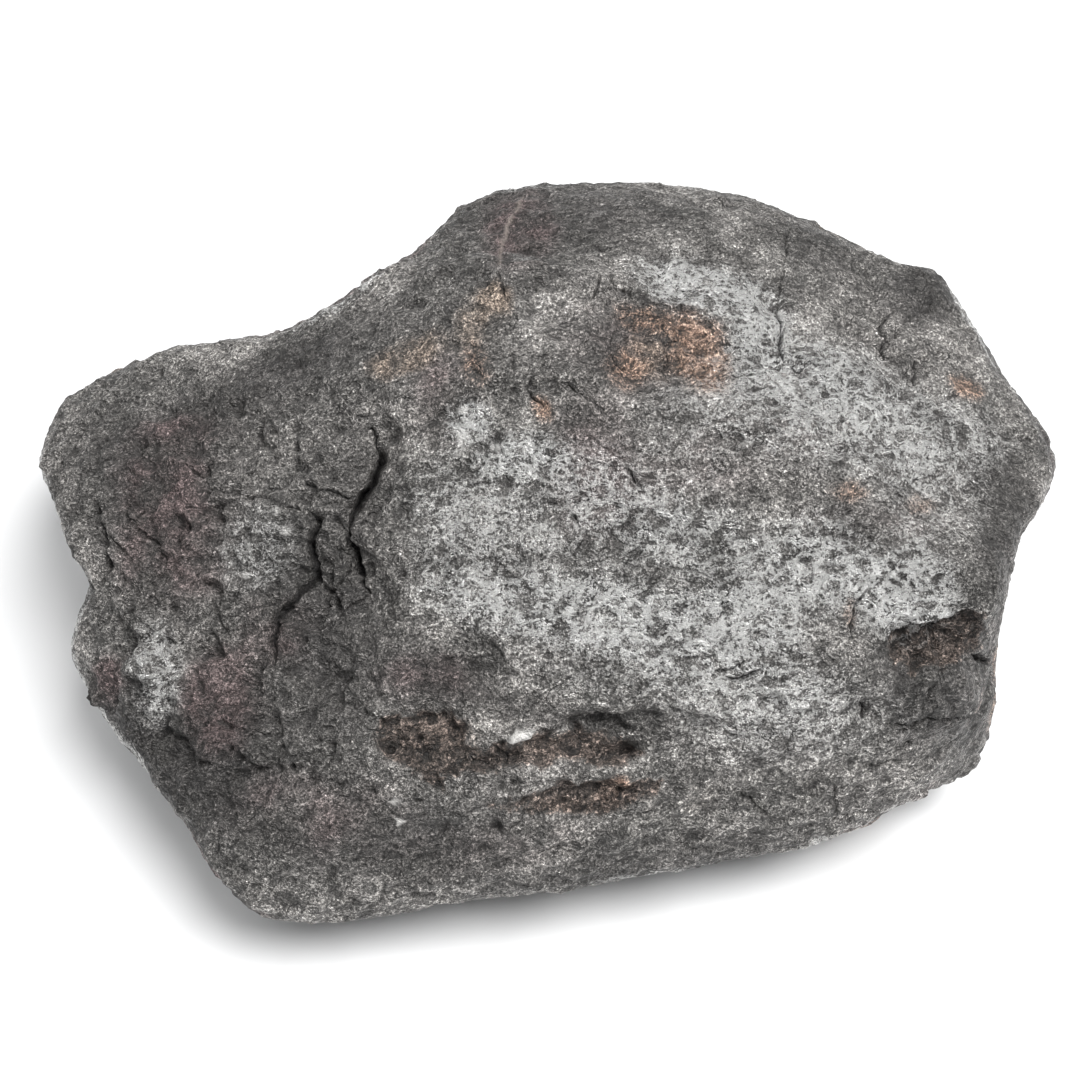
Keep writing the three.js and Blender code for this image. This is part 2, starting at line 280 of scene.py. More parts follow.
SCOOP = [
    (9.9, 41.2), (17.6, 39.8), (22.9, 38.4), (27.8, 38.2), (33, 33), (33.5, 28), (29, 25.6), (20.6, 26.6),
    (14.5, 28.2), (10.5, 31.5),
]
CHIP = [(-5.6, -32.4), (-3.5, -31.9), (-0.2, -31.9), (-2, -34), (-3.2, -33.5), (-5.2, -33.5)]
VEIN = [(-2.5, 57.7), (-4.5, 54.4), (-5.9, 51), (-6.7, 48.5), (-7, 45.2)]
WHITE_BITS = [
    ((-24.6, -44), 0.5), ((-23.3, -47), 0.6), ((-43.7, 4.9), 0.7), ((-42.7, 1.7), 0.6), ((-49, -5.9), 0.5),
    ((-13.2, 17.1), 0.9), ((-7.7, 15.4), 0.8), ((-2.8, 14.9), 0.6), ((-13.4, 21.6), 0.6),
]


# Patches of colour, the silvery ones partly painted sheen and the dark ones partly painted shade:
# middle, half sizes, turn in degrees and strength

PATCHES = {
    # Silvery patches: metallic lustre, partly painted sheen
    "silver": [
        ((-1.3, 14.2), (5, 3.2), 0, 0.8), ((-6.7, 13.4), (3.5, 2.5), 0, 0.8), ((-12, 20), (3.4, 3.4), 0, 0.9),
        ((5.9, -12), (22, 5.5), -8, 0.75), ((34.1, -13.4), (9, 6), 0, 0.9), ((22, -16), (18, 6), -15, 0.6),
        ((47.4, -4), (9, 8), -20, 0.7), ((61.6, -9), (8, 7.5), -20, 1), ((63.1, 16.7), (15, 7), 0, 0.5),
        ((26.8, 42.4), (11, 4.2), -14, 0.85), ((37, 35), (4.5, 7), 0, 0.8), ((46, 28), (10, 6), -15, 0.55),
        ((-64.1, -21.8), (4.5, 9), 0, 0.45), ((-47.4, -1.5), (7, 7.5), 0, 0.35), ((30, 20), (16, 9), 0, 0.25),
        ((55, 24), (9, 6), 0, 0.3), ((10, 5), (20, 9), -10, 0.15), ((-10, -6), (12, 8), 0, 0.2),
        ((30, -2), (18, 6), -20, 0.4), ((5, 6), (26, 12), -8, 0.25), ((-15, 4), (9, 10), 0, 0.25),
        ((42, 24), (22, 10), -20, 0.25), ((66, 6), (10, 8), 0, 0.3), ((36, -24), (18, 9), -10, 0.35),
        ((8, -22), (16, 6), -10, 0.2), ((40, -32), (22, 7), 8, 0.2),
    ],
    "rust": [
        ((27, 30.5), (5, 6.5), 20, 0.8), ((14.5, 28.5), (4.5, 4), 0, 0.5), ((21, 37), (9, 2.6), -12, 0.65),
        ((71.3, 25.6), (3.5, 2.4), -30, 0.6), ((51.7, 8.2), (4, 2.2), 0, 0.45),
        ((63.8, 6), (3.2, 2.2), 0, 0.5), ((51.9, -12), (1.4, 3), 0, 0.5), ((12.5, -41.5), (3.2, 1.8), 10, 1),
        ((0.6, 22), (2, 3), 30, 0.5), ((-10.5, 29), (3, 4), 20, 0.5), ((6, -44.5), (9, 1.6), 0, 0.4),
        ((-17.5, -33), (8, 4.5), 0, 0.35), ((5, -34.5), (10, 2.6), 0, 0.35),
    ],
    "tan": [
        ((-22.6, 30.9), (7, 3.4), 25, 0.9), ((-10, 36), (6, 6), 0, 0.5), ((20, 31), (9, 6), 0, 0.6),
        ((22, -43), (16, 5), 8, 0.25), ((-7, 41), (3, 3), 0, 0.6),
    ],
    "purple": [
        ((10.7, 8), (9, 9), 0, 0.75), ((-61.4, 6.7), (9, 11), 0, 0.7), ((-53.4, -27.2), (6, 8), 0, 0.8),
        ((-71.9, -23.4), (2.5, 4), 0, 0.8), ((-58.6, 18.4), (8, 3), 0, 0.6), ((-53.5, -25.1), (6, 8), 0, 0.7),
        ((-3.3, 51.9), (6, 7), 0, 0.8), ((-18.4, -23.4), (9, 5), 0, 0.5), ((-16, 25), (6, 8), 0, 0.5),
        ((40, 18), (12, 5), 0, 0.35), ((-38, -45), (14, 7), 0, 0.45), ((-10, -52), (20, 4), 8, 0.35),
        ((28, 12), (10, 6), 0, 0.4), ((-45, -15), (6, 6), 0, 0.5), ((56, 3), (14, 4), 0, 0.4),
        ((17, 32), (13, 8), -10, 0.6), ((8, 17), (8, 8), 0, 0.5), ((-62, -4), (10, 8), 0, 0.5),
    ],
    # Dark patches: a darker skin, partly painted shade, as on the right wall, under the brow and at the lower
    # left
    "dark": [
        ((-36, -14), (9, 15), 0, 0.8), ((-55, -38), (12, 12), -40, 0.9), ((-66, -33), (8, 14), 35, 0.95),
        ((-18, -22), (12, 4.5), -28, 0.6), ((4, -29.5), (16, 2.6), -12, 0.5), ((64, 41), (6.5, 5), -20, 0.98),
        ((-45, 28.5), (18, 4), 28, 0.75), ((66, -27), (11, 10), 0, 0.8), ((66, -17.5), (9, 4.5), 8, 0.9),
        ((3, 55), (22, 5), 0, 0.7), ((-68, 12), (9, 10), 0, 0.5), ((-30, 10), (7, 9), 0, 0.5),
        ((46, 50), (10, 5), -30, 0.6), ((-25, -50), (28, 7), 8, 0.6), ((20, -54), (40, 4), 8, 0.5),
        ((78, 3), (6, 14), 10, 0.9), ((-52, 22), (26, 6), 22, 0.5), ((-56, 2), (24, 22), 0, 0.4),
        ((-4, 48), (22, 9), 0, 0.35), ((-20, 30), (16, 12), 35, 0.3), ((-38, -30), (18, 12), 0, 0.35),
    ],
}

# Patches on the sides that the view doesn't show, from noise: their strength, the noise's wavelength
# and seed, and the noise where they start and where they are full
HIDDEN_PATCHES = {
    "silver": (0.55, 26, 3.7, 0.05, 0.5),
    "rust": (0.36, 30, 13.7, 0.25, 0.6),
    "tan": (0.4, 34, 19.7, 0.2, 0.6),
    "purple": (0.6, 30, 29.7, 0.0, 0.5),
    "dark": (0.6, 36, 37.7, 0.0, 0.5),
}

# Where the skin has its own texture: coarse chips, deep pits, fine streaks, or smoother than elsewhere
TEXTURES = {
    "smooth": [
        ((64.5, 42.3), (6, 4.5), -20, 0.8), ((-50, 30.5), (14, 4), 25, 0.7), ((77, 2), (6, 14), 10, 0.6),
        ((68, -28), (9, 9), 0, 0.4), ((15, -1), (20, 5), -8, 0.5), ((48, -38), (16, 8), 8, 0.35),
    ],
    "coarse": [
        ((-55, 3), (24, 22), 0, 0.9), ((-38, -15), (12, 20), 0, 1), ((-60, -26), (16, 14), 0, 0.7),
        ((-10, 46), (10, 10), 0, 0.6), ((-42, -36), (16, 8), 0, 0.6), ((66, -20), (10, 10), 0, 0.6),
    ],
    "pitted": [
        ((64, 16.7), (16, 7), 0, 1), ((45, 30), (12, 10), -30, 0.8), ((24, 44), (18, 6), -14, 0.6),
        ((20, -15), (30, 8), -8, 0.5), ((58, -6), (14, 10), 0, 0.6), ((52, 38), (10, 8), 0, 0.5),
        ((20, 4), (20, 10), 0, 0.35),
    ],
    "streaked": [
        ((-5, -50), (60, 13), 8, 1), ((50, -38), (16, 9), 8, 0.6), ((-45, -50), (14, 12), 0, 0.7),
    ],
}


# Where things are seen

def seen(points):
    """How far across and up the eye sees each point."""
    apart = points - CENTRE
    scale = EYE_DISTANCE / (EYE_DISTANCE - apart @ NEARER)
    return apart[:, 0] * scale, (apart @ UPWARD) * scale


def smoothstep(value, low, high):
    share = np.clip((value - low) / (high - low), 0, 1)
    return share * share * (3 - 2 * share)


def turned_to_eye(points, normals):
    """1 where the surface looks straight at the eye, 0 along its rim and under zero behind it."""
    to_eye = EYE - points
    to_eye /= np.linalg.norm(to_eye, axis=1)[:, None]
    return np.einsum("ij,ij->i", to_eye, normals)


def facing_eye(points, normals):
    """1 where the surface faces the eye, fading to 0 where it turns away."""
    return smoothstep(turned_to_eye(points, normals), 0.03, 0.25)


def path_place(path, across, up):
    """The distance to a path, its side (1 on the left of its run, -1 on the right), and the way along it."""
    nearest = np.full(across.shape, 1e9)
    side = np.ones(across.shape)
    along = np.zeros(across.shape)
    passed = 0.0
    for (x, y), (next_x, next_y) in zip(path, path[1:]):
        run_x, run_y = next_x - x, next_y - y
        run = math.hypot(run_x, run_y)
        share = np.clip(((across - x) * run_x + (up - y) * run_y) / run ** 2, 0, 1)
        distance = np.hypot(across - x - share * run_x, up - y - share * run_y)
        closer = distance < nearest
        nearest = np.where(closer, distance, nearest)
        turn = np.where(run_x * (up - y) - run_y * (across - x) >= 0, 1.0, -1.0)
        side = np.where(closer, turn, side)
        along = np.where(closer, passed + share * run, along)
        passed += run
    return nearest, side, along / passed


def near_path(path, reach, across, up):
    """The places in the box round a path, grown by a reach."""
    low_x, low_y = (min(place[axis] for place in path) - reach for axis in (0, 1))
    high_x, high_y = (max(place[axis] for place in path) + reach for axis in (0, 1))
    return np.flatnonzero((across > low_x) & (across < high_x) & (up > low_y) & (up < high_y))


def crack_share(path, half_width, across, up):
    """1 in the middle of a crack that narrows to its ends, and 0 away from it."""
    share = np.zeros(across.shape)
    near = near_path(path, 3 * half_width, across, up)
    distance, _, along = path_place(path, across[near], up[near])
    tips = np.clip(np.minimum(along, 1 - along) * 6, 0, 1)
    share[near] = (0.3 + 0.7 * tips) * np.exp(-((distance / (half_width * (0.5 + 0.5 * tips))) ** 2))
    return share


def ledge_drop(path, fade, drop, across, up):
    """How far the surface steps down on the left of a path's run."""
    step = np.zeros(across.shape)
    near = near_path(path, 2.5 * fade, across, up)
    distance, side, along = path_place(path, across[near], up[near])
    tips = np.clip(np.minimum(along, 1 - along) * 5, 0, 1)
    fall = smoothstep(distance, 0, 0.5) * drop * tips * np.exp(-((distance / fade) ** 2))
    step[near] = np.where(side > 0, fall, 0)
    return step


def inside(outline, across, up):
    """The distance to an outline: over zero inside it and under zero outside, far down away from it."""
    depth = np.full(across.shape, -9.0)
    ring = outline + outline[:1]
    near = near_path(ring, 3, across, up)
    across, up = across[near], up[near]
    within = np.zeros(across.shape, bool)
    for (x, y), (next_x, next_y) in zip(ring, ring[1:]):
        if y == next_y:
            continue
        crosses = (y > up) != (next_y > up)
        within ^= crosses & (across < (next_x - x) * (up - y) / (next_y - y) + x)
    distance = path_place(ring, across, up)[0]
    depth[near] = np.where(within, distance, -distance)
    return depth


def ragged(across, up, reach):
    """Moves places a little, so that lines and edges drawn there turn out ragged."""
    places = np.stack([across, up, np.zeros(across.shape)], 1)
    moved_across = perlin(places, 2.6, SEEDS["warp"]) + 0.7 * perlin(places, 0.9, SEEDS["warp"] + 3)
    moved_up = perlin(places, 2.6, SEEDS["warp"] + 5) + 0.7 * perlin(places, 0.9, SEEDS["warp"] + 8)
    return across + reach * moved_across, up + reach * moved_up


def patch_cover(patches, across, up):
    """How strongly the patches cover each place, from 0 to 1."""
    bare = np.ones(across.shape)
    for (x, y), (half_long, half_wide), turn, strength in patches:
        angle = math.radians(turn)
        apart_x, apart_y = across - x, up - y
        along = (apart_x * math.cos(angle) + apart_y * math.sin(angle)) / half_long
        aside = (apart_y * math.cos(angle) - apart_x * math.sin(angle)) / half_wide
        bare *= 1 - strength * np.exp(-((along ** 2 + aside ** 2) ** 1.5) * 0.9)
    return 1 - bare


# Noise over the stone

def perlin(points, wavelength, seed):
    places = (points / wavelength + seed).tolist()
    return np.array([noise.noise(place) for place in places])


def fractal(points, wavelength, seed, octaves=3):
    places = (points / wavelength + seed).tolist()
    return np.array([noise.fractal(place, 1.0, 2.0, octaves) for place in places])


def crests(points, wavelength, seed):
    places = (points / wavelength + seed).tolist()
    return np.array([noise.ridged_multi_fractal(place, 1.0, 2.0, 4, 1.0, 2.0) for place in places]) - 1.1


def chips(points, size, seed):
    """A skin broken into chips: the height of each chip's own tilted face, and a pit in some of them."""
    faces = np.zeros(len(points))
    pits = np.zeros(len(points))
    for i, place in enumerate((points / size + seed).tolist()):
        distances, cells = noise.voronoi(place)
        cell = cells[0]
        tilt = noise.cell_vector(cell * 9.7)
        apart = Vector(place) - cell
        crease = min(1.0, (distances[1] - distances[0]) / 0.22)
        lean = apart.x * (tilt.x - 0.5) + apart.y * (tilt.y - 0.5) + apart.z * (tilt.z - 0.5)
        faces[i] = crease * (lean + 0.35 * (tilt.x - 0.5))
        if tilt.y > 0.55:
            pits[i] = max(0.0, 1 - distances[0] / (0.25 + 0.35 * tilt.z)) ** 1.5
    return faces, pits


# The mesh

def arrays(mesh):
    """Points in millimetres, and normals."""
    count = len(mesh.vertices)
    points = np.empty(count * 3)
    normals = np.empty(count * 3)
    mesh.vertices.foreach_get("co", points)
    mesh.vertices.foreach_get("normal", normals)
    return points.reshape(-1, 3) / MM, normals.reshape(-1, 3)


def put_back(mesh, points):
    mesh.vertices.foreach_set("co", (points * MM).ravel())
    mesh.update()


def new_object(name, mesh):
    item = bpy.data.objects.new(name, mesh)
    bpy.context.scene.collection.objects.link(item)
    return item


def with_modifiers(mesh, *kinds):
    """A mesh's copy with modifiers applied, each given as its kind and settings."""
    item = new_object("work", mesh)
    for kind, settings in kinds:
        modifier = item.modifiers.new(kind, kind)
        for setting, value in settings.items():
            setattr(modifier, setting, value)
    shown = item.evaluated_get(bpy.context.evaluated_depsgraph_get())
    made = bpy.data.meshes.new_from_object(shown)
    bpy.data.objects.remove(item)
    bpy.data.meshes.remove(mesh)
    return made


def plain_skin(node):
    """The solid's mesh, rounded and remade in even fine faces."""
    work = bmesh.new()
    work.from_mesh(node.data)
    bmesh.ops.remove_doubles(work, verts=work.verts, dist=1e-6)
    mesh = bpy.data.meshes.new("skin")
    work.to_mesh(mesh)
    work.free()
    rounding = {"levels": 2, "render_levels": 2}
    remade = {"mode": "VOXEL", "voxel_size": VOXEL * MM}
    return with_modifiers(mesh, ("SUBSURF", rounding), ("REMESH", remade))


def split_near_lines(mesh, band):
    """Splits the faces close to a crack, so that it stays crisp."""
    points, normals = arrays(mesh)
    across, up = ragged(*seen(points), LINE_WARP)
    near = np.zeros(len(points), bool)
    for path in [crack[0] for crack in CRACKS] + [VEIN]:
        boxed = near_path(path, band, across, up)
        near[boxed] |= path_place(path, across[boxed], up[boxed])[0] < band
    near &= facing_eye(points, normals) > 0
    work = bmesh.new()
    work.from_mesh(mesh)
    work.verts.ensure_lookup_table()
    edges = [edge for edge in work.edges if near[edge.verts[0].index] and near[edge.verts[1].index]]
    bmesh.ops.subdivide_edges(work, edges=edges, cuts=1, use_grid_fill=True)
    work.to_mesh(mesh)
    work.free()
    mesh.update()


def inside_box(points):
    """Keeps points in the solid's box, and on the ground or above it."""
    low = np.array(cad_box[0]) / MM
    high = np.array(cad_box[1]) / MM
    return np.clip(points, low, high)


def large_forms(points, normals):
    """How far the fissure, the cracks, the ledges, the pockets and the scoop move each point."""
    plain_across, plain_up = seen(points)
    across, up = ragged(plain_across, plain_up, LINE_WARP)
    height = np.zeros(len(points))
    uneven = smoothstep(perlin(points, 4, SEEDS["lumps"]), -0.5, 0.15)
    for path, half_width, depth in CRACKS:
        cut = depth * crack_share(path, half_width, across, up)
        height -= cut if depth > 1.5 else cut * (0.3 + 0.7 * uneven)
    for path, fade, drop in LEDGES:
        height -= ledge_drop(path, fade, drop, across, up)
    for middle, half_sizes, turn, raised in FORMS:
        height += raised * patch_cover([(middle, half_sizes, turn, 1)], across, up)
    across, up = ragged(plain_across, plain_up, POCKET_WARP)
    for outline, depth, lumpiness in POCKETS + [(SCOOP, 0.4, 2.6)]:
        share = smoothstep(inside(outline, across, up), -0.7, 1.3)
        broken = np.flatnonzero(share > 0)
        grain = chips(points[broken], POCKET_GRAIN_SIZES[0], SEEDS["grain"])[0]
        lumps = chips(points[broken], POCKET_GRAIN_SIZES[1], SEEDS["grain"] + 6)[0]
        height[broken] -= share[broken] * (depth + 1.5 * grain + lumpiness * lumps)
    height += 0.6 * smoothstep(inside(CHIP, plain_across, plain_up), 0, 0.3)
    return height * facing_eye(points, normals)


def skin_relief(points, normals):
    """How far lumps, crests, chips and pits move each point, all over the stone."""
    across, up = seen(points)
    seen_share = facing_eye(points, normals)
    coarse = np.where(seen_share > 0, patch_cover(TEXTURES["coarse"], across, up) * seen_share, 0)
    coarse = np.maximum(coarse, 0.4 * (1 - seen_share) * smoothstep(perlin(points, 40, 9.1), -0.2, 0.4))
    pitted = patch_cover(TEXTURES["pitted"], across, up) * seen_share + 0.3 * (1 - seen_share)
    bent = points + 1.5 * np.stack([perlin(points, 5, 2.3 + 7 * axis) for axis in range(3)], 1)
    big_faces, big_pits = chips(bent, CHIP_SIZES[0], SEEDS["chips"])
    small_faces, small_pits = chips(bent, CHIP_SIZES[1], SEEDS["flakes"])
    # Low ridges that run along the stone, and finer streaks
    flow = perlin(bent * (0.22, 1, 1), 2.6, SEEDS["flow"])
    tilt = math.radians(GRAIN_TILT)
    along = (across * math.cos(tilt) + up * math.sin(tilt)) / 9
    aside = (up * math.cos(tilt) - across * math.sin(tilt)) / 1.5
    streaks = perlin(np.stack([along, aside, 0.1 * points[:, 1]], 1), 1, SEEDS["flow"] + 5)
    height = 0.4 * fractal(points, LUMP_SIZE, SEEDS["lumps"]) + 0.4 * flow
    height += (0.35 + 0.5 * coarse) * crests(bent, CREST_SIZES[0], SEEDS["crests"])
    height += (0.28 + 0.35 * coarse) * crests(bent, CREST_SIZES[1], SEEDS["crests"] + 4)
    height += (2.2 + 3.8 * coarse) * big_faces
    height += (1.0 + 1.2 * coarse + 0.6 * pitted) * small_faces
    height -= (0.2 + 0.4 * coarse) * big_pits
    height -= (0.25 + 0.7 * pitted) * small_pits
    height += 0.35 * patch_cover(TEXTURES["streaked"], across, up) * seen_share * streaks
    height *= 1 - 0.65 * patch_cover(TEXTURES["smooth"], across, up) * seen_share
    # Flatter where the surface turns away from the eye, so that the outline stays calm
    height *= 1 - 0.55 * np.exp(-((turned_to_eye(points, normals) / 0.3) ** 2))
    return height * smoothstep(points[:, 2], 0.2, 3)


def hollowness(mesh, points, normals, rounds):
    """How far each point lies under the mean of its surroundings, in millimetres."""
    count = len(points)
    ends = np.empty(len(mesh.edges) * 2, int)
    mesh.edges.foreach_get("vertices", ends)
    first, second = ends.reshape(-1, 2).T
    degree = np.bincount(first, minlength=count) + np.bincount(second, minlength=count)
    mean = points.copy()
    for _ in range(rounds):
        total = np.empty_like(mean)
        for axis in range(3):
            total[:, axis] = np.bincount(first, weights=mean[second, axis], minlength=count)
            total[:, axis] += np.bincount(second, weights=mean[first, axis], minlength=count)
        mean = 0.5 * mean + 0.5 * total / degree[:, None]
    return np.einsum("ij,ij->i", mean - points, normals)


def write_attribute(mesh, name, values):
    layer = mesh.attributes.new(name, "FLOAT", "POINT")
    layer.data.foreach_set("value", np.asarray(values, float))


def write_masks(mesh, points, normals):
    """Keeps on each point what the material needs: its patches, cracks, pockets and white bits."""
    across, up = seen(points)
    shown = facing_eye(points, normals)
    ragged_across, ragged_up = ragged(across, up, LINE_WARP)
    for name, patches in PATCHES.items():
        strength, wavelength, seed, start, full = HIDDEN_PATCHES[name]
        hidden = strength * smoothstep(perlin(points, wavelength, seed), start, full)
        write_attribute(mesh, name, patch_cover(patches, across, up) * shown + hidden * (1 - shown))
    write_attribute(mesh, "broad", smoothstep(fractal(points, 16, SEEDS["lumps"] + 9, 4), -0.5, 0.5))
    write_attribute(mesh, "mottle", np.clip(1.6 * fractal(points, 6, SEEDS["grain"] + 3, 4), -1, 1))
    # Painted shade in the cracks, darker for deeper ones
    crack = np.zeros(len(points))
    for path, half_width, depth in CRACKS:
        dark = min(1, 0.25 + 0.5 * depth) * crack_share(path, half_width, ragged_across, ragged_up)
        crack = np.maximum(crack, dark)
    write_attribute(mesh, "crack", crack * shown)
    white = smoothstep(inside(CHIP, across, up), -0.05, 0.15)
    for (x, y), radius in WHITE_BITS:
        white = np.maximum(white, smoothstep(radius - np.hypot(ragged_across - x, ragged_up - y), 0, 0.3))
    write_attribute(mesh, "white", white * shown)
    write_attribute(mesh, "vein", crack_share(VEIN, 0.2, ragged_across, ragged_up) * shown)
    ragged_across, ragged_up = ragged(across, up, POCKET_WARP)
    rough = np.zeros(len(points))
    for outline, _, _ in POCKETS:
        rough = np.maximum(rough, smoothstep(inside(outline, ragged_across, ragged_up), -1.6, 1.2))
    write_attribute(mesh, "rough", rough * shown)


def make_stone(node):
    mesh = plain_skin(node)
    for band in FINE_BANDS:
        split_near_lines(mesh, band)
    points, normals = arrays(mesh)
    write_masks(mesh, points, normals)
    height = large_forms(points, normals) + skin_relief(points, normals)
    put_back(mesh, inside_box(points + normals * height[:, None]))
    triangles = sum(len(face.vertices) - 2 for face in mesh.polygons)
    mesh = with_modifiers(mesh, ("DECIMATE", {"ratio": FACES_KEPT / triangles}))
    put_back(mesh, inside_box(arrays(mesh)[0]))
    mesh.polygons.foreach_set("use_smooth", [True] * len(mesh.polygons))
    write_attribute(mesh, "hollow", hollowness(mesh, *arrays(mesh), 6))
    return new_object("stone", mesh)


# Materials

class Shade:
    """Builds a material's nodes."""

    def __init__(self, name):
        self.material = bpy.data.materials.new(name)
        self.material.use_nodes = True
        self.tree = self.material.node_tree
        self.surface = self.tree.nodes["Principled BSDF"]

    def link(self, value, socket):
        if isinstance(value, bpy.types.NodeSocket):
            self.tree.links.new(value, socket)
        else:
            socket.default_value = value

    def node(self, kind, inputs=None, **settings):
        made = self.tree.nodes.new(kind)
        for setting, value in settings.items():
            setattr(made, setting, value)
        for name, value in (inputs or {}).items():
            self.link(value, made.inputs[name])
        return made

    def math(self, operation, *values):
        made = self.node("ShaderNodeMath", operation=operation)
        for socket, value in zip(made.inputs, values):
            self.link(value, socket)
        return made.outputs[0]

    def vector(self, operation, *values):
        made = self.node("ShaderNodeVectorMath", operation=operation)
        for socket, value in zip(made.inputs, values):
            self.link(value, socket)
        return made.outputs[0]

    def scaled(self, vector, scale):
        made = self.node("ShaderNodeVectorMath", {"Scale": scale}, operation="SCALE")
        self.link(vector, made.inputs[0])
        return made.outputs[0]

    def mix(self, share, low, high):
        """A mix of two colours."""
        made = self.node("ShaderNodeMix", data_type="RGBA")
        self.link(share, made.inputs[0])
        self.link(low, made.inputs[6])
        self.link(high, made.inputs[7])
        return made.outputs[2]

    def steps(self, value, low, high, out_low=0.0, out_high=1.0):
        """Values from low to high, spread smoothly over another range."""
        made = self.node("ShaderNodeMapRange", interpolation_type="SMOOTHSTEP")
        names = ("Value", "From Min", "From Max", "To Min", "To Max")
        for name, number in zip(names, (value, low, high, out_low, out_high)):
            self.link(number, made.inputs[name])
        return made.outputs[0]

    def kept(self, name):
        return self.node("ShaderNodeAttribute", attribute_name=name).outputs["Fac"]

    def noise(self, place, size, detail, roughness=0.5):
        inputs = {"Vector": place, "Scale": 1 / size, "Detail": detail, "Roughness": roughness}
        return self.node("ShaderNodeTexNoise", inputs).outputs["Fac"]

    def ridges(self, place, size):
        """Thin ridges, about 1.1 on the whole and up to 2 along their crests."""
        inputs = {
            "Vector": place, "Scale": 1 / size, "Detail": 3.0, "Roughness": 0.65, "Lacunarity": 2.2,
            "Offset": 1.0, "Gain": 2.0,
        }
        return self.node("ShaderNodeTexNoise", inputs, noise_type="RIDGED_MULTIFRACTAL").outputs["Fac"]

    def lines(self, place, size, width):
        """Thin winding lines, 1 in their middle."""
        value = self.math("SUBTRACT", self.noise(place, size, 2, 0.6), 0.5)
        return self.steps(self.math("ABSOLUTE", value), width, 0)

    def cells(self, place, size):
        """A value of its own for each small cell."""
        return self.node("ShaderNodeTexVoronoi", {"Vector": place, "Scale": 1 / size}).outputs["Color"]

    def total(self, start, *shares):
        """A value with shares of others added to it."""
        value = start
        for part, share in shares:
            value = self.math("MULTIPLY_ADD", part, share, value)
        return value

    def covered(self, under, cover, share, over):
        """A colour with a share of another over it, where the cover says."""
        return self.mix(self.math("MULTIPLY", cover, share), under, over)


def colour(name):
    return (*COLOURS[name], 1.0)


